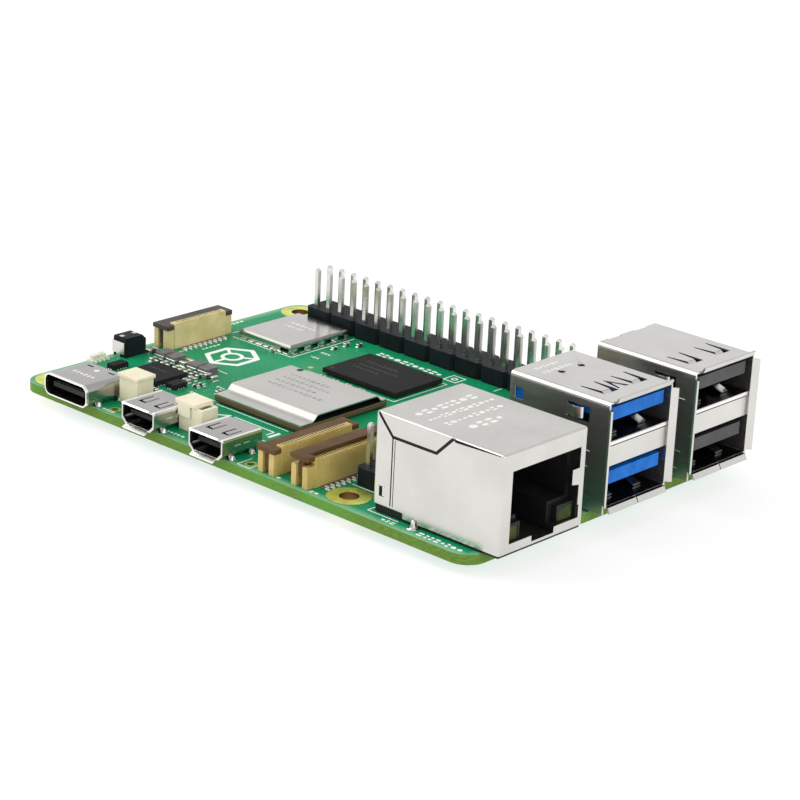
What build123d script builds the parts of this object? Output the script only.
from build123d import *
import os

# A single board computer, 85 x 56 mm, modelled at its real size in millimetres.
# The row's origin is the centre of the four mounting holes on the board's underside.
# Sub-parts are placed by board coordinates: x and y from the board's corner beside the
# power socket, z from the top of the board.

# Driving dimensions: the board
BOARD_X = 85.0
BOARD_Y = 56.0
BOARD_T = 1.4
BOARD_R = 3.0
HOLE_INSET = 3.5
HOLE_SPAN_X = 58.0
HOLE_SPAN_Y = 49.0
HOLE_R = 1.35
PAD_R = 3.0
PAD_T = 0.05
PLATING = 0.06
TOOLING_HOLES = [(18.1, 1.8), (45.2, 1.75)]
TOOLING_R = 0.55

# Pin headers
PITCH = 2.54
PIN = 0.64
PIN_TOP = 8.55
TAIL = 3.0
PIN_HOLE_R = 0.5
GPIO_X = 8.37
GPIO_Y = 51.23
GPIO_COLUMNS = 20
POE_X = 60.28
POE_Y = 8.33
HEADER_H = 2.54

# Sockets on the edges
USB_C_X = 11.2
HDMI_X = [25.8, 39.2]
JACK = ((66.8, 87.8), (2.2, 18.2), (0.5, 13.6))
USB_Y = {"usb3": 29.1, "usb2": 47.0}
USB_X = (71.2, 87.5)
USB_W = 13.0
USB_H = 15.5
SHEET = 0.3

# Flat cable connectors: the +X face, the two ends in y, and how far the latch stands open
FLAT_CABLE = {
    "pcie_connector": (4.3, 24.1, 37.1, 0.0),
    "camera_connector_0": (50.6, 0.7, 16.5, 0.0),
    "camera_connector_1": (56.75, 0.7, 16.2, 0.75),
}
CABLE_PITCH = 0.5

CORNER = (-HOLE_INSET - HOLE_SPAN_X / 2, -HOLE_INSET - HOLE_SPAN_Y / 2, BOARD_T)
TOP = Plane(origin=CORNER)
FRONT = Plane(origin=CORNER, x_dir=(1, 0, 0), z_dir=(0, -1, 0))
SIDE = Plane(origin=CORNER, x_dir=(0, 1, 0), z_dir=(1, 0, 0))

os.makedirs("parts", exist_ok=True)


def middle(ends):
    """The value halfway between two ends."""
    return (ends[0] + ends[1]) / 2


def length(ends):
    """The distance from the first end to the second."""
    return ends[1] - ends[0]


def block(xs, ys, zs, mode=Mode.ADD):
    """A box between two x, two y and two z values, in board coordinates."""
    with BuildSketch(TOP.offset(zs[0])) as outline:
        with Locations((middle(xs), middle(ys))):
            Rectangle(length(xs), length(ys))
    extrude(outline.sketch, amount=length(zs), mode=mode)


def blocks(centres, size, zs, mode=Mode.ADD):
    """Equal boxes of size (x, y) on a list of centres."""
    with BuildSketch(TOP.offset(zs[0])) as outline:
        with Locations(*centres):
            Rectangle(size[0], size[1])
    extrude(outline.sketch, amount=length(zs), mode=mode)


def rounded_block(xs, ys, zs, radius, mode=Mode.ADD):
    """A box with its upright edges rounded."""
    with BuildSketch(TOP.offset(zs[0])) as outline:
        with Locations((middle(xs), middle(ys))):
            RectangleRounded(length(xs), length(ys), radius)
    extrude(outline.sketch, amount=length(zs), mode=mode)


def drill(centres, radius, depth_from, depth_to):
    """Round holes on a list of centres."""
    with BuildSketch(TOP.offset(depth_from)) as outline:
        with Locations(*centres):
            Circle(radius)
    extrude(outline.sketch, amount=depth_to - depth_from, mode=Mode.SUBTRACT)


def across(points, xs, mode=Mode.ADD):
    """A profile of (y, z) points, extruded between two x values."""
    with BuildSketch(SIDE.offset(xs[0])) as outline:
        Polygon(*points, align=None)
    extrude(outline.sketch, amount=length(xs), mode=mode)


def along(points, ys, mode=Mode.ADD):
    """A profile of (x, z) points, extruded between two y values."""
    with BuildSketch(FRONT.offset(-ys[1])) as outline:
        Polygon(*points, align=None)
    extrude(outline.sketch, amount=length(ys), mode=mode)


def upright(points, zs, mode=Mode.ADD):
    """A profile of (x, y) points, extruded between two z values."""
    with BuildSketch(TOP.offset(zs[0])) as outline:
        Polygon(*points, align=None)
    extrude(outline.sketch, amount=length(zs), mode=mode)


def pins(centres, size, zs, tip):
    """Square pins with a tapered tip at both ends."""
    shank = (zs[0] + tip, zs[1] - tip)
    blocks(centres, (size, size), shank)
    for height, direction in ((shank[1], 1), (shank[0], -1)):
        with BuildSketch(TOP.offset(height)) as outline:
            with Locations(*centres):
                Rectangle(size, size)
        extrude(outline.sketch, amount=direction * tip, taper=20)


def row(x, y, count_x, count_y, pitch=PITCH, pitch_y=None):
    """Centres of a grid that starts at x, y."""
    step_y = pitch_y or pitch
    return [(x + pitch * i, y + step_y * j) for i in range(count_x) for j in range(count_y)]


MOUNT_HOLES = [
    (HOLE_INSET + i * HOLE_SPAN_X, HOLE_INSET + j * HOLE_SPAN_Y) for i in range(2) for j in range(2)
]
GPIO_PINS = row(GPIO_X, GPIO_Y, GPIO_COLUMNS, 2)
POE_PINS = row(POE_X, POE_Y, 2, 2)

# Through-hole tails and legs under the sockets
JACK_TAILS = row(70.2, 5.12, 2, 5)
JACK_PEGS = [(77.3, 5.2), (77.3, 15.2)]
JACK_LEGS = [(74.0, JACK[1][0]), (74.0, JACK[1][1])]
USB_TAILS = {
    "usb3": row(73.0, USB_Y["usb3"] - 4.5, 2, 9, 2.0, 1.125),
    "usb2": row(73.0, USB_Y["usb2"] - 3.6, 2, 4, 2.0, 2.4),
}
USB_LEGS = {
    name: [(x, y + side * (USB_W / 2 - SHEET / 2)) for x in (75.6, 81.6) for side in (-1, 1)]
    for name, y in USB_Y.items()
}
HDMI_LEG_Y = (0.95, 4.6)
HDMI_LEGS = [(x + side * 3.1, y) for x in HDMI_X for side in (-1, 1) for y in HDMI_LEG_Y]
USB_C_LEGS = [(USB_C_X + side * 4.32, y) for side in (-1, 1) for y in (1.0, 4.9)]
TAIL_SIZE = 0.45
TAIL_HOLE_R = 0.42
LEG_HOLE_R = 0.75
PEG_R = 1.5
LEG_BOTTOM = -BOARD_T - 0.35
EDGE_LEG_BOTTOM = -BOARD_T - 0.1
TAIL_BOTTOM = -BOARD_T - 0.95

# --- Board ---------------------------------------------------------------------------

with BuildPart() as pcb:
    rounded_block((0, BOARD_X), (0, BOARD_Y), (-BOARD_T, 0), BOARD_R)
    drill(MOUNT_HOLES, HOLE_R + PLATING, -BOARD_T, 0)
    drill(TOOLING_HOLES, TOOLING_R, -BOARD_T, 0)
    drill(GPIO_PINS + POE_PINS, PIN_HOLE_R, -BOARD_T, 0)
    drill(JACK_TAILS + USB_TAILS["usb3"] + USB_TAILS["usb2"], TAIL_HOLE_R, -BOARD_T, 0)
    drill(JACK_PEGS, PEG_R + 0.1, -BOARD_T, 0)
    drill(JACK_LEGS + USB_LEGS["usb3"] + USB_LEGS["usb2"], LEG_HOLE_R, -BOARD_T, 0)
    drill(HDMI_LEGS + USB_C_LEGS, LEG_HOLE_R * 0.8, -BOARD_T, 0)
pcb.part.label = "pcb"
export_step(pcb.part, "parts/pcb.step")

with BuildPart() as hole_pads:
    # Each hole is plated through: a ring on both faces of the board and a barrel between
    for base, rise, outer in (
        (0, PAD_T, PAD_R),
        (-BOARD_T, BOARD_T, HOLE_R + PLATING),
        (-BOARD_T, -PAD_T, PAD_R),
    ):
        with BuildSketch(TOP.offset(base)) as rings:
            with Locations(*MOUNT_HOLES):
                Circle(outer)
        extrude(rings.sketch, amount=rise)
    drill(MOUNT_HOLES, HOLE_R, -BOARD_T - PAD_T, PAD_T)
hole_pads.part.label = "hole_pads"
export_step(hole_pads.part, "parts/hole_pads.step")

# --- Pin headers ---------------------------------------------------------------------


def header_base(centres, columns, x0, y0):
    """Insulator of a two-row header, notched between blocks of two columns."""
    notch = 0.75
    width = columns * PITCH
    xs = (x0 - PITCH / 2, x0 - PITCH / 2 + width)
    ys = (y0 - PITCH / 2, y0 + PITCH * 1.5)
    with BuildSketch(TOP) as outline:
        with Locations((middle(xs), middle(ys))):
            Rectangle(width, 2 * PITCH)
        with Locations(*[(xs[0] + 2 * PITCH * i, y) for i in range(columns // 2 + 1) for y in ys]):
            Rectangle(notch, notch, rotation=45, mode=Mode.SUBTRACT)
        with Locations(*centres):
            Rectangle(PIN, PIN, mode=Mode.SUBTRACT)
    extrude(outline.sketch, amount=HEADER_H)


with BuildPart() as gpio_header_base:
    header_base(GPIO_PINS, GPIO_COLUMNS, GPIO_X, GPIO_Y)
gpio_header_base.part.label = "gpio_header_base"
export_step(gpio_header_base.part, "parts/gpio_header_base.step")

with BuildPart() as gpio_pins:
    pins(GPIO_PINS, PIN, (-TAIL, PIN_TOP), 0.35)
gpio_pins.part.label = "gpio_pins"
export_step(gpio_pins.part, "parts/gpio_pins.step")

with BuildPart() as poe_header_base:
    header_base(POE_PINS, 2, POE_X, POE_Y)
poe_header_base.part.label = "poe_header_base"
export_step(poe_header_base.part, "parts/poe_header_base.step")

with BuildPart() as poe_pins:
    pins(POE_PINS, PIN, (-TAIL, PIN_TOP), 0.35)
poe_pins.part.label = "poe_pins"
export_step(poe_pins.part, "parts/poe_pins.step")

# --- Processor -----------------------------------------------------------------------
SOC_X = (24.8, 41.8)
SOC_Y = (14.4, 31.4)
SUBSTRATE_TOP = 1.1
BALLS_TOP = 0.25
LID_FLANGE = 1.32
LID_TOP = 2.2
LID_SHEET = 0.22
LID_BEND = 0.8

with BuildPart() as soc_substrate:
    block(SOC_X, SOC_Y, (BALLS_TOP, SUBSTRATE_TOP))
    block((SOC_X[0] + 0.7, SOC_X[1] - 0.7), (SOC_Y[0] + 0.7, SOC_Y[1] - 0.7), (0, BALLS_TOP))
soc_substrate.part.label = "soc_substrate"
export_step(soc_substrate.part, "parts/soc_substrate.step")

with BuildPart() as soc_die:
    block((28.3, 38.3), (18.6, 28.6), (SUBSTRATE_TOP, LID_TOP - LID_SHEET))
soc_die.part.label = "soc_die"
export_step(soc_die.part, "parts/soc_die.step")

with BuildPart() as soc_lid:
    upper = [
        (SOC_Y[0], LID_FLANGE),
        (SOC_Y[0] + 2.35, LID_FLANGE),
        (SOC_Y[0] + 3.2, LID_TOP),
        (SOC_Y[1] - 1.9, LID_TOP),
        (SOC_Y[1] - 1.2, LID_FLANGE),
        (SOC_Y[1], LID_FLANGE),
    ]
    lower = [(y, z - LID_SHEET) for y, z in reversed(upper)]
    with BuildSketch(SIDE.offset(SOC_X[0])) as outline:
        Polygon(*upper, *lower, align=None)
        fillet(outline.vertices().sort_by(Axis.X)[2:-2], LID_BEND)
    extrude(outline.sketch, amount=length(SOC_X))
    # The rear left corner is cut away, which marks the chip's first pin
    block((SOC_X[0], SOC_X[0] + 1.4), (SOC_Y[1] - 1.6, SOC_Y[1]), (SUBSTRATE_TOP, LID_TOP), Mode.SUBTRACT)
soc_lid.part.label = "soc_lid"
export_step(soc_lid.part, "parts/soc_lid.step")

# --- Chips ---------------------------------------------------------------------------


def chip(xs, ys, height, stand_off=0.0):
    """A moulded chip with a small bevel round its top, on an optional narrower foot."""
    bevel = 0.08
    if stand_off:
        block((xs[0] + 0.5, xs[1] - 0.5), (ys[0] + 0.5, ys[1] - 0.5), (0, stand_off))
    with BuildSketch(TOP.offset(stand_off)) as outline:
        with Locations((middle(xs), middle(ys))):
            Rectangle(length(xs), length(ys))
    extrude(outline.sketch, amount=height - stand_off - bevel)
    with BuildSketch(TOP.offset(height - bevel)) as cap:
        with Locations((middle(xs), middle(ys))):
            Rectangle(length(xs), length(ys))
    extrude(cap.sketch, amount=bevel, taper=40)


with BuildPart() as ram_chip:
    chip((26.0, 40.5), (34.6, 44.6), 1.0, 0.25)
ram_chip.part.label = "ram_chip"
export_step(ram_chip.part, "parts/ram_chip.step")

with BuildPart() as io_controller_chip:
    chip((52.2, 64.6), (23.4, 35.8), 1.1, 0.25)
io_controller_chip.part.label = "io_controller_chip"
export_step(io_controller_chip.part, "parts/io_controller_chip.step")

with BuildPart() as ethernet_phy_chip:
    chip((58.2, 64.2), (15.2, 21.2), 0.85)
ethernet_phy_chip.part.label = "ethernet_phy_chip"
export_step(ethernet_phy_chip.part, "parts/ethernet_phy_chip.step")

with BuildPart() as pmic_chip:
    chip((8.4, 14.9), (12.1, 18.2), 0.85)
    # Two small chips of the same supply: a switch and a charger
    chip((4.3, 5.9), (12.3, 15.0), 0.8)
    chip((15.9, 17.7), (13.2, 15.6), 0.8)
pmic_chip.part.label = "pmic_chip"
export_step(pmic_chip.part, "parts/pmic_chip.step")

with BuildPart() as wireless_chip:
    chip((8.4, 14.8), (39.6, 46.6), 0.8)
wireless_chip.part.label = "wireless_chip"
export_step(wireless_chip.part, "parts/wireless_chip.step")

# --- Wireless can --------------------------------------------------------------------
CAN_X = (6.2, 17.1)
CAN_Y = (36.9, 49.4)
CAN_TOP = 1.35
CAN_SHEET = 0.15
CAN_BEVEL = 0.3

with BuildPart() as wireless_shield:
    block(CAN_X, CAN_Y, (0, CAN_TOP - CAN_BEVEL))
    with BuildSketch(TOP.offset(CAN_TOP - CAN_BEVEL)) as can_top:
        with Locations((middle(CAN_X), middle(CAN_Y))):
            Rectangle(length(CAN_X), length(CAN_Y))
    extrude(can_top.sketch, amount=CAN_BEVEL, taper=45)
    inside_x = (CAN_X[0] + CAN_SHEET, CAN_X[1] - CAN_SHEET)
    inside_y = (CAN_Y[0] + CAN_SHEET, CAN_Y[1] - CAN_SHEET)
    block(inside_x, inside_y, (0, CAN_TOP - CAN_BEVEL - 0.1), Mode.SUBTRACT)
    # Windows along the +X wall, and one in the -Y wall
    windows = [(CAN_X[1], 39.1 + 2.86 * i) for i in range(4)]
    blocks(windows, (1.0, 1.5), (0.1, 0.72), Mode.SUBTRACT)
    block((14.9, 16.7), (CAN_Y[0] - 0.5, CAN_Y[0] + 0.5), (0.1, 0.72), Mode.SUBTRACT)
wireless_shield.part.label = "wireless_shield"
export_step(wireless_shield.part, "parts/wireless_shield.step")

# --- Power parts beside the supply chip ----------------------------------------------
INDUCTORS = [(6.1, 22.0), (8.5, 22.0), (13.0, 22.0), (15.3, 22.0)]

with BuildPart() as power_inductors:
    for x, y in INDUCTORS:
        rounded_block((x - 0.95, x + 0.95), (y - 1.25, y + 1.25), (0, 1.0), 0.15)
power_inductors.part.label = "power_inductors"
export_step(power_inductors.part, "parts/power_inductors.step")

# Small parts: centre and size (x, y, z) of each body
CAPACITORS = (
    [(x, 10.6, 1.0, 0.5, 0.5) for x in (9.0, 10.6, 12.2)]
    + [(x, 19.5, 0.6, 1.1, 0.55) for x in (6.2, 7.4, 8.6, 9.8, 11.2, 12.4, 13.6, 14.8, 16.0)]
    + [(16.2, y, 1.1, 0.6, 0.5) for y in (10.9, 17.0, 18.2)]
    + [(10.75, 22.0, 1.2, 2.0, 0.7), (3.2, 21.9, 1.0, 1.9, 0.6), (17.6, 20.4, 1.9, 1.1, 0.7)]
    + [(x, 33.1, 1.0, 0.5, 0.5) for x in (27.5, 30.1, 32.7, 35.3)]
    + [(22.6, y, 0.5, 1.0, 0.5) for y in (17.2, 22.3, 26.0)]
    + [(14.6, 35.9, 1.0, 0.5, 0.5), (19.6, 46.3, 0.5, 1.0, 0.5), (21.0, 47.6, 0.5, 1.0, 0.5)]
    + [(x, 38.6, 0.5, 1.0, 0.5) for x in (44.0, 46.2, 52.5, 55.6)]
    + [(66.6, y, 1.0, 0.5, 0.5) for y in (21.5, 24.1, 28.4, 33.0)]
)
RESISTORS = (
    [(x, 9.4, 0.5, 1.0, 0.35) for x in (13.7, 20.6, 21.8)]
    + [(18.6, y, 1.0, 0.5, 0.35) for y in (16.6, 17.7)]
    + [(2.6, y, 1.0, 0.5, 0.35) for y in (10.2, 11.2)]
    + [(x, 42.8, 0.5, 1.0, 0.35) for x in (44.8, 48.0, 51.2, 59.0)]
    + [(19.4, 43.9, 0.5, 1.0, 0.35), (60.2, 40.1, 1.0, 0.5, 0.35), (62.4, 38.4, 1.0, 0.5, 0.35)]
)


def small_parts(table):
    """One box for each row of centre and size."""
    for x, y, size_x, size_y, height in table:
        blocks([(x, y)], (size_x, size_y), (0, height))


with BuildPart() as ceramic_capacitors:
    small_parts(CAPACITORS)
ceramic_capacitors.part.label = "ceramic_capacitors"
export_step(ceramic_capacitors.part, "parts/ceramic_capacitors.step")

with BuildPart() as chip_resistors:
    small_parts(RESISTORS)
chip_resistors.part.label = "chip_resistors"
export_step(chip_resistors.part, "parts/chip_resistors.step")

# --- USB-C power socket --------------------------------------------------------------
USB_C_W = 8.94
USB_C_H = 3.2
USB_C_Y = (-1.3, 6.1)
USB_C_SHEET = 0.2
USB_C_CORNER = 1.1


def tube(inset, ys, mode=Mode.ADD):
    """The round-cornered section of the power socket, smaller by the inset all round."""
    width, height = USB_C_W - 2 * inset, USB_C_H - 2 * inset
    with BuildSketch(FRONT.offset(-ys[1])) as outline:
        with Locations((USB_C_X, USB_C_H / 2 + 0.02)):
            RectangleRounded(width, height, USB_C_CORNER - inset)
    extrude(outline.sketch, amount=length(ys), mode=mode)


with BuildPart() as usb_c_shell:
    tube(0, USB_C_Y)
    tube(USB_C_SHEET, USB_C_Y, Mode.SUBTRACT)
    blocks([(9.0, 5.2), (13.4, 5.2)], (1.3, 0.5), (USB_C_H / 2, USB_C_H + 1), Mode.SUBTRACT)
    # The legs go down from the middle of the side walls' sheet
    leg_offset = (USB_C_W - USB_C_SHEET) / 2
    legs = [(USB_C_X + side * leg_offset, y) for side in (-1, 1) for y in (1.0, 4.9)]
    blocks(legs, (USB_C_SHEET, 1.1), (EDGE_LEG_BOTTOM, 1.7))
usb_c_shell.part.label = "usb_c_shell"
export_step(usb_c_shell.part, "parts/usb_c_shell.step")

with BuildPart() as usb_c_insert:
    tube(USB_C_SHEET, (4.3, USB_C_Y[1] - 0.15))
    block((USB_C_X - 3.3, USB_C_X + 3.3), (-0.6, 4.3), (1.27, 1.97))
usb_c_insert.part.label = "usb_c_insert"
export_step(usb_c_insert.part, "parts/usb_c_insert.step")

with BuildPart() as usb_c_contacts:
    lands = [(USB_C_X - 2.75 + 0.5 * i, 1.5) for i in range(12)]
    blocks(lands, (0.25, 3.4), (1.97, 2.02))
    blocks(lands, (0.25, 3.4), (1.22, 1.27))
usb_c_contacts.part.label = "usb_c_contacts"
export_step(usb_c_contacts.part, "parts/usb_c_contacts.step")

# --- Video sockets -------------------------------------------------------------------
HDMI_W = 6.5
HDMI_TOP = 3.05
HDMI_Y = (-0.9, 6.4)
HDMI_SHEET = 0.25


def hdmi_profile(x, inset):
    """The socket's outline seen from the front: a box with its lower corners cut."""
    half = HDMI_W / 2 - inset
    low = 0.1 + inset
    high = HDMI_TOP - inset
    cut = 0.75
    return [
        (x - half, high),
        (x - half, low + cut),
        (x - half + cut, low),
        (x + half - cut, low),
        (x + half, low + cut),
        (x + half, high),
    ]


for number, x_mid in enumerate(HDMI_X):
    with BuildPart() as hdmi_shell:
        along(hdmi_profile(x_mid, 0), HDMI_Y)
        along(hdmi_profile(x_mid, HDMI_SHEET), HDMI_Y, Mode.SUBTRACT)
        # Lips that flare out round the mouth
        top_lip = [(HDMI_Y[0] + 0.05, HDMI_TOP - 0.25), (HDMI_Y[0] + 0.05, HDMI_TOP)]
        top_lip += [(HDMI_Y[0] - 0.35, HDMI_TOP + 0.3), (HDMI_Y[0] - 0.5, HDMI_TOP + 0.1)]
        across(top_lip, (x_mid - 2.7, x_mid + 2.7))
        low_lip = [(HDMI_Y[0] + 0.05, 0.35), (HDMI_Y[0] + 0.05, 0.1), (HDMI_Y[0] - 0.75, -0.25)]
        low_lip += [(HDMI_Y[0] - 0.85, -0.05)]
        across(low_lip, (x_mid - 2.2, x_mid + 2.2))
        # Spring fingers in the top are cut free on three sides
        for side in (-1, 1):
            middle_x = x_mid + side * 1.5
            edges_x = [(middle_x + side_2 * 0.55, 2.6) for side_2 in (-1, 1)]
            blocks(edges_x, (0.3, 2.6), (HDMI_TOP - 0.4, HDMI_TOP + 0.1), Mode.SUBTRACT)
            blocks([(middle_x, 1.4)], (1.4, 0.55), (HDMI_TOP - 0.4, HDMI_TOP + 0.1), Mode.SUBTRACT)
        legs = [(x_mid + side * 3.1, y) for side in (-1, 1) for y in HDMI_LEG_Y]
        blocks(legs, (HDMI_SHEET - 0.05, 0.9), (EDGE_LEG_BOTTOM, 1.2))
    hdmi_shell.part.label = f"hdmi_{number}_shell"
    export_step(hdmi_shell.part, f"parts/hdmi_{number}_shell.step")

    with BuildPart() as hdmi_insert:
        along(hdmi_profile(x_mid, HDMI_SHEET), (4.6, HDMI_Y[1] - 0.1))
        block((x_mid - 2.35, x_mid + 2.35), (0.0, 4.6), (1.45, 2.05))
    hdmi_insert.part.label = f"hdmi_{number}_insert"
    export_step(hdmi_insert.part, f"parts/hdmi_{number}_insert.step")

with BuildPart() as hdmi_contacts:
    for x_mid in HDMI_X:
        lands = [(x_mid - 1.8 + 0.4 * i, 2.2) for i in range(10)]
        blocks(lands, (0.2, 3.6), (1.4, 1.45))
        blocks(lands[:-1], (0.2, 3.6), (2.05, 2.1))
hdmi_contacts.part.label = "hdmi_contacts"
export_step(hdmi_contacts.part, "parts/hdmi_contacts.step")

# --- Network jack --------------------------------------------------------------------
JACK_X, JACK_Y, JACK_Z = JACK
JACK_WALL = 0.25
JACK_FOLD = 0.32
SEAM = 0.42
FLAP_X = (69.64, 77.1)
FLAP_Z = 10.6
FLAP_END = 80.1
MOUTH_Y = (4.05, 17.05)
MOUTH_Z = (1.65, 11.15)
KEY_Y = (8.35, 12.65)
PLUG_Y = (4.7, 16.4)
PLUG_Z = (4.4, 10.9)
PLUG_BACK = 73.5
LIGHT_Z = (1.75, 3.5)
LIGHTS_Y = [(4.0, 6.4), (14.2, 16.9)]
LIGHT_FRAME = 0.35
LIGHT_FACE = JACK_X[1] - 0.7
FACE_BACK = JACK_X[1] - 1.6

mouth = [
    (MOUTH_Y[0], MOUTH_Z[1]),
    (MOUTH_Y[0], MOUTH_Z[0]),
    (KEY_Y[0], MOUTH_Z[0]),
    (KEY_Y[0], 0.85),
    (KEY_Y[1], 0.85),
    (KEY_Y[1], MOUTH_Z[0]),
    (MOUTH_Y[1] + 0.3, MOUTH_Z[0]),
    (MOUTH_Y[1] + 0.3, 3.4),
    (MOUTH_Y[1], 3.4),
    (MOUTH_Y[1], 6.1),
    (MOUTH_Y[1] - 1.3, 6.35),
    (MOUTH_Y[1] - 1.3, 8.35),
    (MOUTH_Y[1], 8.35),
    (MOUTH_Y[1], MOUTH_Z[1]),
]

with BuildPart() as ethernet_shield:
    block(JACK_X, JACK_Y, JACK_Z)
    folds = ethernet_shield.edges().filter_by(Axis.Z) + ethernet_shield.faces().sort_by(Axis.Z)[-1].edges()
    fillet(folds, JACK_FOLD)
    block(
        (JACK_X[0] + JACK_WALL, JACK_X[1] - JACK_WALL),
        (JACK_Y[0] + JACK_WALL, JACK_Y[1] - JACK_WALL),
        (JACK_Z[0], JACK_Z[1] - JACK_WALL),
        Mode.SUBTRACT,
    )
    across(mouth, (JACK_X[1] - 1, JACK_X[1]), Mode.SUBTRACT)
    # The rear end of both sides stands higher off the board
    block((JACK_X[0], 71.9), JACK_Y, (JACK_Z[0], 1.27), Mode.SUBTRACT)
    # On both sides a flap hangs from the top plate, with an open seam round it. A second
    # seam runs down behind it, and a third follows the top edge and narrows to the front.
    flap = [
        (JACK_X[0], JACK_Z[1]),
        (FLAP_X[0], FLAP_Z),
        (FLAP_X[1], FLAP_Z),
        (FLAP_END, JACK_Z[1]),
        (FLAP_END - 1.4 * SEAM, JACK_Z[1]),
        (FLAP_X[1] - 0.4 * SEAM, FLAP_Z + SEAM),
        (FLAP_X[0] + 0.4 * SEAM, FLAP_Z + SEAM),
        (JACK_X[0] + 1.4 * SEAM, JACK_Z[1]),
    ]
    for ys in ((JACK_Y[0], JACK_Y[0] + JACK_WALL), (JACK_Y[1] - JACK_WALL, JACK_Y[1])):
        along(flap, ys, Mode.SUBTRACT)
        block((FLAP_X[0], FLAP_X[0] + 0.2), ys, (1.54, FLAP_Z + 0.1), Mode.SUBTRACT)
        block((FLAP_X[0] + 0.45, FLAP_X[0] + 0.57), ys, (1.54, FLAP_Z - 0.15), Mode.SUBTRACT)
    wedge = [
        (FLAP_END - 0.5, JACK_Z[1] - 0.16),
        (FLAP_END - 0.15, JACK_Z[1] - 0.55),
        (JACK_X[1] - 0.4, JACK_Z[1] - 0.28),
        (JACK_X[1] - 0.4, JACK_Z[1] - 0.16),
    ]
    for ys in ((JACK_Y[0], JACK_Y[0] + JACK_WALL), (JACK_Y[1] - JACK_WALL, JACK_Y[1])):
        along(wedge, ys, Mode.SUBTRACT)
    # Side windows near the rear
    block((67.75, 68.75), (JACK_Y[0], JACK_Y[0] + 0.3), (2.4, 3.8), Mode.SUBTRACT)
    block((67.75, 68.75), (JACK_Y[1] - 0.3, JACK_Y[1]), (2.4, 3.8), Mode.SUBTRACT)
    for x, y in JACK_LEGS:
        inward = JACK_WALL / 2 if y < middle(JACK_Y) else -JACK_WALL / 2
        blocks([(x, y + inward)], (1.0, JACK_WALL), (LEG_BOTTOM, 1.0))
ethernet_shield.part.label = "ethernet_shield"
export_step(ethernet_shield.part, "parts/ethernet_shield.step")

with BuildPart() as ethernet_housing:
    block(
        (JACK_X[0] + JACK_WALL, JACK_X[1] - JACK_WALL),
        (JACK_Y[0] + JACK_WALL, JACK_Y[1] - JACK_WALL),
        (0.1, JACK_Z[1] - JACK_WALL),
    )
    # The plug's way in: the face, the body of the plug and the channel for its lever
    block((FACE_BACK, JACK_X[1]), MOUTH_Y, (MOUTH_Z[0], MOUTH_Z[1]), Mode.SUBTRACT)
    block((PLUG_BACK, JACK_X[1]), PLUG_Y, PLUG_Z, Mode.SUBTRACT)
    block((PLUG_BACK, JACK_X[1]), (6.9, 12.9), (MOUTH_Z[0], PLUG_Z[0]), Mode.SUBTRACT)
    block((PLUG_BACK + 3, JACK_X[1]), KEY_Y, (0.85, MOUTH_Z[0]), Mode.SUBTRACT)
    # A frame stands round each light pipe, in the lower corners of the mouth
    for near, far in LIGHTS_Y:
        frame_y = (near - LIGHT_FRAME, far + LIGHT_FRAME)
        block((FACE_BACK - 0.1, LIGHT_FACE), frame_y, (MOUTH_Z[0], LIGHT_Z[1] + LIGHT_FRAME))
    for ys in LIGHTS_Y:
        block((FACE_BACK - 4, JACK_X[1]), ys, LIGHT_Z, Mode.SUBTRACT)
    blocks(JACK_TAILS, (TAIL_SIZE, TAIL_SIZE), (0, 2.0), Mode.SUBTRACT)
    with BuildSketch(TOP.offset(-BOARD_T)) as pegs:
        with Locations(*JACK_PEGS):
            Circle(PEG_R)
    extrude(pegs.sketch, amount=BOARD_T + 0.3)
ethernet_housing.part.label = "ethernet_housing"
export_step(ethernet_housing.part, "parts/ethernet_housing.step")

with BuildPart() as ethernet_contacts:
    # Eight sprung wires that slope down from the cavity's roof
    for i in range(8):
        y_mid = middle(PLUG_Y) + (i - 3.5) * 1.02
        wire = [(PLUG_BACK, 10.4), (83.5, 10.4), (84.1, 10.05), (75.0, 7.4), (75.2, 7.15)]
        wire += [(84.9, 10.0), (83.7, 10.7), (PLUG_BACK, 10.7)]
        along(wire, (y_mid - 0.2, y_mid + 0.2))
    blocks(JACK_TAILS, (TAIL_SIZE, TAIL_SIZE), (TAIL_BOTTOM, 2.0))
ethernet_contacts.part.label = "ethernet_contacts"
export_step(ethernet_contacts.part, "parts/ethernet_contacts.step")

with BuildPart() as ethernet_light_pipes:
    for ys in LIGHTS_Y:
        rounded_block((FACE_BACK - 4, LIGHT_FACE + 0.05), ys, LIGHT_Z, 0.3)
ethernet_light_pipes.part.label = "ethernet_light_pipes"
export_step(ethernet_light_pipes.part, "parts/ethernet_light_pipes.step")

# --- Double USB-A stacks -------------------------------------------------------------
UPPER_PORT = (10.0, 15.2)
LOWER_PORT = (1.4, 6.6)
SHELL_BOTTOM = 0.35
REAR_BLOCK = 75.5
TONGUE_W = 11.0
TONGUE_RISE = (2.75, 4.5)
TONGUE_FRONT = 87.1


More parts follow.
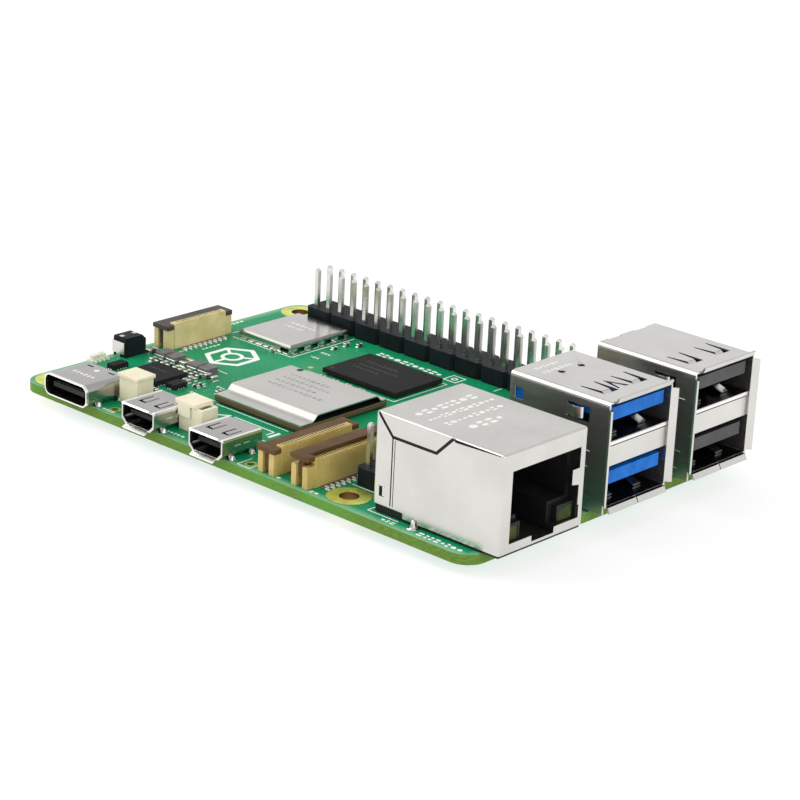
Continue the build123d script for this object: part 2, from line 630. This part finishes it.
def usb_shell(name, y_mid):
    """Folded shell of a double stack: walls, floor, spring slots, lips and legs."""
    left, right = y_mid - USB_W / 2, y_mid + USB_W / 2
    fold = 0.65
    profile = [(left, SHELL_BOTTOM), (right, SHELL_BOTTOM), (right, USB_H), (left, USB_H)]
    with BuildSketch(SIDE.offset(USB_X[0])) as outline:
        Polygon(*profile, align=None)
        fillet(outline.vertices().group_by(Axis.Y)[-1], fold)
    extrude(outline.sketch, amount=length(USB_X))
    block(
        (USB_X[0] + SHEET, USB_X[1]),
        (left + SHEET, right - SHEET),
        (SHELL_BOTTOM, USB_H - SHEET),
        Mode.SUBTRACT,
    )
    # The floor runs under the lower port only
    block((REAR_BLOCK + 0.2, USB_X[1]), (left + SHEET, right - SHEET), (LOWER_PORT[0] - SHEET, LOWER_PORT[0]))
    # Two tapered spring fingers in the top stand in wider openings and dip at their tips
    for side in (-1, 1):
        finger = y_mid + side * 3.0
        block((81.0, 85.0), (finger - 1.45, finger + 1.45), (USB_H - 1, USB_H), Mode.SUBTRACT)
        tapered = [(80.9, finger - 1.2), (84.0, finger - 0.75), (84.0, finger + 0.75), (80.9, finger + 1.2)]
        upright(tapered, (USB_H - SHEET, USB_H))
        dip = [(83.9, USB_H), (84.6, USB_H - 0.45), (84.5, USB_H - 0.75), (83.9, USB_H - SHEET)]
        along(dip, (finger - 0.75, finger + 0.75))
    # Lips that flare out round the mouth
    roof_lip = [(USB_X[1] - 0.1, USB_H - SHEET), (USB_X[1] + 0.5, USB_H - 0.15)]
    roof_lip += [(USB_X[1] + 0.8, USB_H + 0.5), (USB_X[1] + 0.55, USB_H + 0.6)]
    roof_lip += [(USB_X[1] + 0.25, USB_H + 0.1), (USB_X[1] - 0.1, USB_H)]
    along(roof_lip, (left + 0.9, right - 0.9))
    floor_lip = [(USB_X[1] - 0.1, LOWER_PORT[0]), (USB_X[1] + 0.45, LOWER_PORT[0] - 0.1)]
    floor_lip += [(USB_X[1] + 0.8, LOWER_PORT[0] - 0.85), (USB_X[1] + 0.55, LOWER_PORT[0] - 0.9)]
    floor_lip += [(USB_X[1] + 0.25, LOWER_PORT[0] - 0.35), (USB_X[1] - 0.1, LOWER_PORT[0] - SHEET)]
    along(floor_lip, (left + 0.6, y_mid - 0.1))
    along(floor_lip, (y_mid + 0.1, right - 0.6))
    for edge, out in ((left, -1), (right, 1)):
        lip = [(USB_X[1] - 0.1, edge), (USB_X[1] + 0.7, edge + out * 0.55)]
        lip += [(USB_X[1] + 0.8, edge + out * 0.3), (USB_X[1] - 0.1, edge - out * SHEET)]
        upright(lip, (LOWER_PORT[0] + 0.3, USB_H - 0.9))
    # A punched finger in each side wall bows outwards in a wider opening
    for edge, out in ((left, -1), (right, 1)):
        block((80.7, 84.4), (edge - 0.5, edge + 0.5), (12.0, 14.0), Mode.SUBTRACT)
        bow = [(80.6, edge), (82.3, edge + out * 0.5), (83.0, edge + out * 0.2), (83.3, edge - out * 0.1)]
        bow += [(83.0, edge - out * 0.25), (82.3, edge + out * 0.2), (80.6, edge - out * SHEET)]
        upright(bow, (12.25, 13.75))
    blocks(USB_LEGS[name], (1.0, SHEET), (LEG_BOTTOM, 1.0))


def usb_stack(name, y_mid):
    """The five nodes of one double stack."""
    left, right = y_mid - USB_W / 2, y_mid + USB_W / 2
    inside = (left + SHEET, right - SHEET)
    with BuildPart() as shell:
        usb_shell(name, y_mid)
        if name == "usb3":
            drill([(75.85, y_mid - 1.9), (75.85, y_mid + 2.1)], 0.5, USB_H - 1, USB_H)
            block((72.1, 73.5), (left - 0.2, left + SHEET), (12.0, 13.5), Mode.SUBTRACT)
            # A V-shaped tongue is punched between the fingers
            vee = [(81.2, y_mid - 0.45), (84.7, y_mid - 1.3), (84.7, y_mid - 0.8), (82.8, y_mid - 0.3)]
            vee += [(84.7, y_mid + 0.3), (84.7, y_mid + 0.9)]
            upright(vee, (USB_H - 1, USB_H), Mode.SUBTRACT)
        else:
            scallops = [(USB_X[0], y_mid - 3.2), (USB_X[0], y_mid + 2.6)]
            blocks(scallops, (0.5, 2.6), (USB_H - 1, USB_H), Mode.SUBTRACT)
    with BuildPart() as divider:
        block((REAR_BLOCK + 0.2, USB_X[1] - 0.3), inside, (LOWER_PORT[1], UPPER_PORT[0]))
        block(
            (REAR_BLOCK + 0.2, USB_X[1] - 0.3 - SHEET),
            (inside[0] + SHEET, inside[1] - SHEET),
            (LOWER_PORT[1] + SHEET, UPPER_PORT[0] - SHEET),
            Mode.SUBTRACT,
        )
    with BuildPart() as tongues:
        for port in (LOWER_PORT, UPPER_PORT):
            zs = (port[0] + TONGUE_RISE[0], port[0] + TONGUE_RISE[1])
            rounded = (y_mid - TONGUE_W / 2, y_mid + TONGUE_W / 2)
            rounded_block((REAR_BLOCK, TONGUE_FRONT), rounded, zs, 0.45)
            block((REAR_BLOCK, REAR_BLOCK + 1.0), rounded, zs)
    with BuildPart() as contacts:
        for port in (LOWER_PORT, UPPER_PORT):
            under = port[0] + TONGUE_RISE[0]
            lands = [(81.5, y_mid + (i - 1.5) * 2.3) for i in range(4)]
            blocks(lands, (9.5, 1.0), (under - 0.15, under))
            # Two spring fingers that rise from each port's floor
            finger = [(81.0, port[0]), (84.2, port[0] + 0.75), (85.6, port[0] + 0.3)]
            finger += [(85.6, port[0] + 0.1), (84.2, port[0] + 0.55), (82.0, port[0])]
            for side in (-1, 1):
                along(finger, (y_mid + side * 3.0 - 0.75, y_mid + side * 3.0 + 0.75))
        blocks(USB_TAILS[name], (TAIL_SIZE, TAIL_SIZE), (TAIL_BOTTOM, 1.5))
    with BuildPart() as housing:
        block((USB_X[0] + SHEET, REAR_BLOCK), inside, (0.1, USB_H - SHEET))
        blocks(USB_TAILS[name], (TAIL_SIZE, TAIL_SIZE), (0, 1.5), Mode.SUBTRACT)
    pieces = {
        "shell": shell.part,
        "divider": divider.part,
        "tongues": tongues.part,
        "contacts": contacts.part,
        "housing": housing.part,
    }
    for piece, solid in pieces.items():
        solid.label = f"{name}_{piece}"
        export_step(solid, f"parts/{name}_{piece}.step")


for stack, y_centre in USB_Y.items():
    usb_stack(stack, y_centre)

# --- Flat cable connectors -----------------------------------------------------------
CABLE_DEPTH = 3.3
WALL_TOP = 3.95
POST_TOP = 3.05
LATCH_BAR = (3.1, 3.72)
END = 1.35

with BuildPart() as ffc_contacts:
    for name, (face, near, far, lifted) in FLAT_CABLE.items():
        count = int((far - near - 2 * END - 1.2) / CABLE_PITCH)
        for i in range(count):
            y = near + END + 0.9 + CABLE_PITCH * i
            reach = 0.95 if i % 2 else 1.5
            block((face, face + reach), (y - 0.11, y + 0.11), (0.02, 0.14))
ffc_contacts.part.label = "ffc_contacts"
export_step(ffc_contacts.part, "parts/ffc_contacts.step")

for name, (face, near, far, lifted) in FLAT_CABLE.items():
    back = face - CABLE_DEPTH
    trench = (face - 2.55, face - 1.1)
    with BuildPart() as body:
        # Main wall with a comb along its top, a floor, a lower back wall, two slotted ends
        block((face - 1.1, face), (near + END, far - END), (0, WALL_TOP))
        block((back + 0.25, trench[0]), (near + END, far - END), (0, POST_TOP))
        block((back + 0.25, face), (near + END, far - END), (0, 0.7))
        for ys in ((near, near + END), (far - END, far)):
            block((back + 0.25, face - 0.15), ys, (0, POST_TOP))
            block((back + 1.1, face - 1.05), ys, (0, POST_TOP), Mode.SUBTRACT)
        teeth = int((far - near - 2 * END) / CABLE_PITCH) - 1
        notches = [(face - 0.55, near + END + 0.55 + CABLE_PITCH * i) for i in range(teeth)]
        blocks(notches, (1.2, 0.22), (WALL_TOP - 0.32, WALL_TOP), Mode.SUBTRACT)
    with BuildPart() as latch:
        rise = lifted
        # Bar over the trench, wide tabs over both ends, and a tongue that presses the cable
        bar = (LATCH_BAR[0] + rise, LATCH_BAR[1] + rise)
        block((back + 0.05, trench[1] - 0.05), (near - 0.1, far + 0.1), bar)
        rounded_block((back + 0.05, face + 0.05), (near - 0.1, near + END - 0.05), bar, 0.3)
        rounded_block((back + 0.05, face + 0.05), (far - END + 0.05, far + 0.1), bar, 0.3)
        block((trench[0] + 0.1, trench[1] - 0.35), (near + END + 0.1, far - END - 0.1), (1.2 + rise, bar[0]))
        # Legs that slide in the slots of both ends
        for ys in ((near + 0.4, near + END), (far - END, far - 0.4)):
            block((back + 1.2, face - 1.15), ys, (0.8 + rise, bar[0]))
    body.part.label = f"{name}_body"
    export_step(body.part, f"parts/{name}_body.step")
    latch.part.label = f"{name}_latch"
    export_step(latch.part, f"parts/{name}_latch.step")

# --- Wire connectors -----------------------------------------------------------------
BATTERY_X = (16.2, 19.9)
BATTERY_Y = (4.2, 7.3)
BATTERY_TOP = 3.9
SERIAL_X = (29.15, 33.7)
SERIAL_Y = (3.55, 6.6)
SERIAL_TOP = 3.7
FAN_X = (65.4, 69.2)
FAN_Y = (43.4, 49.4)
WIRE_WALL = 0.5
CAP_PLATE = 0.5


def wire_box(xs, ys, height):
    """An open-topped connector box."""
    block(xs, ys, (0, height))
    hollow_x = (xs[0] + WIRE_WALL, xs[1] - WIRE_WALL)
    hollow_y = (ys[0] + WIRE_WALL, ys[1] - WIRE_WALL)
    block(hollow_x, hollow_y, (0.9, height), Mode.SUBTRACT)


with BuildPart() as battery_connector_body:
    wire_box(BATTERY_X, BATTERY_Y, BATTERY_TOP)
battery_connector_body.part.label = "battery_connector_body"
export_step(battery_connector_body.part, "parts/battery_connector_body.step")

with BuildPart() as battery_connector_cap:
    rim = 0.22
    block(
        (BATTERY_X[0] - rim, BATTERY_X[1] + rim),
        (BATTERY_Y[0] - rim, BATTERY_Y[1] + rim),
        (BATTERY_TOP, BATTERY_TOP + CAP_PLATE),
    )
    plug_x = (BATTERY_X[0] + WIRE_WALL + 0.05, BATTERY_X[1] - WIRE_WALL - 0.05)
    plug_y = (BATTERY_Y[0] + WIRE_WALL + 0.05, BATTERY_Y[1] - WIRE_WALL - 0.05)
    block(plug_x, plug_y, (BATTERY_TOP - 0.7, BATTERY_TOP))
battery_connector_cap.part.label = "battery_connector_cap"
export_step(battery_connector_cap.part, "parts/battery_connector_cap.step")

with BuildPart() as uart_connector_body:
    wire_box(SERIAL_X, SERIAL_Y, SERIAL_TOP)
uart_connector_body.part.label = "uart_connector_body"
export_step(uart_connector_body.part, "parts/uart_connector_body.step")

with BuildPart() as uart_connector_cap:
    # The plate covers most of the mouth, with a flap down over the front face
    plate_x = (SERIAL_X[0] - 0.45, 32.7)
    block(plate_x, (SERIAL_Y[0] - 0.3, SERIAL_Y[1] + 0.05), (SERIAL_TOP, SERIAL_TOP + CAP_PLATE + 0.15))
    block((29.25, 31.6), (SERIAL_Y[0] - 0.3, SERIAL_Y[0] - 0.05), (2.1, SERIAL_TOP))
    plug_y = (SERIAL_Y[0] + WIRE_WALL + 0.05, SERIAL_Y[1] - WIRE_WALL - 0.05)
    block((SERIAL_X[0] + WIRE_WALL + 0.05, 31.8), plug_y, (SERIAL_TOP - 0.7, SERIAL_TOP))
uart_connector_cap.part.label = "uart_connector_cap"
export_step(uart_connector_cap.part, "parts/uart_connector_cap.step")

with BuildPart() as fan_connector_body:
    wire_box(FAN_X, FAN_Y, 3.6)
fan_connector_body.part.label = "fan_connector_body"
export_step(fan_connector_body.part, "parts/fan_connector_body.step")

with BuildPart() as wire_connector_pins:
    battery_row = [middle(BATTERY_X) + i - 0.5 for i in range(2)]
    serial_row = [middle(SERIAL_X) + i - 1 for i in range(3)]
    fan_row = [middle(FAN_Y) + i - 1.5 for i in range(4)]
    blocks([(x, middle(BATTERY_Y)) for x in battery_row], (0.3, 0.3), (0.9, 3.0))
    blocks([(x, middle(SERIAL_Y)) for x in serial_row], (0.3, 0.3), (0.9, 2.8))
    blocks([(middle(FAN_X), y) for y in fan_row], (0.3, 0.3), (0.9, 2.9))
    # Solder feet where the boxes meet the board
    blocks([(x, BATTERY_Y[1] + 0.3) for x in battery_row], (0.3, 0.6), (0, 0.2))
    blocks([(x, SERIAL_Y[1] + 0.3) for x in serial_row], (0.3, 0.6), (0, 0.2))
    blocks([(FAN_X[0] - 0.3, y) for y in fan_row], (0.6, 0.3), (0, 0.2))
wire_connector_pins.part.label = "wire_connector_pins"
export_step(wire_connector_pins.part, "parts/wire_connector_pins.step")

# --- Power button and status lamp ----------------------------------------------------
BUTTON_X = (0.15, 2.9)
BUTTON_Y = (17.1, 21.0)
BUTTON_TOP = 3.0
PLUNGER_Y = (18.25, 19.85)
PLUNGER_Z = (1.2, 2.3)
PLUNGER_CLEAR = 0.08

with BuildPart() as power_button_body:
    body_profile = [
        (BUTTON_Y[0], 0),
        (BUTTON_Y[1], 0),
        (BUTTON_Y[1], BUTTON_TOP - 0.6),
        (BUTTON_Y[1] - 0.6, BUTTON_TOP),
        (BUTTON_Y[0] + 0.15, BUTTON_TOP),
        (BUTTON_Y[0], BUTTON_TOP - 0.15),
    ]
    across(body_profile, BUTTON_X)
    block(
        (BUTTON_X[0], BUTTON_X[0] + 1.3),
        (PLUNGER_Y[0] - PLUNGER_CLEAR, PLUNGER_Y[1] + PLUNGER_CLEAR),
        (PLUNGER_Z[0] - PLUNGER_CLEAR, PLUNGER_Z[1] + PLUNGER_CLEAR),
        Mode.SUBTRACT,
    )
power_button_body.part.label = "power_button_body"
export_step(power_button_body.part, "parts/power_button_body.step")

with BuildPart() as power_button_frame:
    # A folded plate on each end, with a foot on the board and two rivets in the top
    for wall, out in ((BUTTON_Y[0], -1), (BUTTON_Y[1], 1)):
        outer = wall + out * 0.2
        ys = (min(wall, outer), max(wall, outer))
        block((BUTTON_X[0], BUTTON_X[1] - 0.2), ys, (0.55, 2.35))
        block((BUTTON_X[0] + 0.9, BUTTON_X[0] + 1.7), ys, (0, 0.55))
    blocks([(1.5, 17.65), (1.5, 19.9)], (0.75, 0.6), (BUTTON_TOP, BUTTON_TOP + 0.08))
power_button_frame.part.label = "power_button_frame"
export_step(power_button_frame.part, "parts/power_button_frame.step")

with BuildPart() as power_button_plunger:
    block((-0.75, BUTTON_X[0] + 0.95), PLUNGER_Y, PLUNGER_Z)
power_button_plunger.part.label = "power_button_plunger"
export_step(power_button_plunger.part, "parts/power_button_plunger.step")

with BuildPart() as status_led:
    block((0.15, 1.35), (12.0, 15.2), (0, 0.35))
    rounded_block((0.25, 1.25), (12.3, 14.9), (0.35, 0.95), 0.3)
    blocks([(1.6, 12.45 + 0.77 * i) for i in range(4)], (0.5, 0.4), (0, 0.3))
status_led.part.label = "status_led"
export_step(status_led.part, "parts/status_led.step")

# --- Memory card socket, under the board ---------------------------------------------
CARD_X = (1.0, 13.6)
CARD_Y = (21.9, 34.1)
CARD_DEEP = 1.5

with BuildPart() as microsd_shell:
    zs = (-BOARD_T - CARD_DEEP, -BOARD_T)
    block(CARD_X, CARD_Y, zs)
    block((CARD_X[0], CARD_X[1] - 0.2), (CARD_Y[0] + 0.2, CARD_Y[1] - 0.2), (zs[0] + 0.2, zs[1]), Mode.SUBTRACT)
    blocks([(5.5, 24.6), (5.5, 31.4)], (4.2, 0.4), (zs[0], zs[0] + 0.2), Mode.SUBTRACT)
microsd_shell.part.label = "microsd_shell"
export_step(microsd_shell.part, "parts/microsd_shell.step")

with BuildPart() as microsd_base:
    block((CARD_X[0] + 0.6, CARD_X[1] - 0.2), (CARD_Y[0] + 0.2, CARD_Y[1] - 0.2), (-BOARD_T - 0.45, -BOARD_T))
    block((CARD_X[1] - 2.0, CARD_X[1] - 0.2), (CARD_Y[0] + 0.2, CARD_Y[1] - 0.2), (-BOARD_T - 1.3, -BOARD_T - 0.45))
microsd_base.part.label = "microsd_base"
export_step(microsd_base.part, "parts/microsd_base.step")
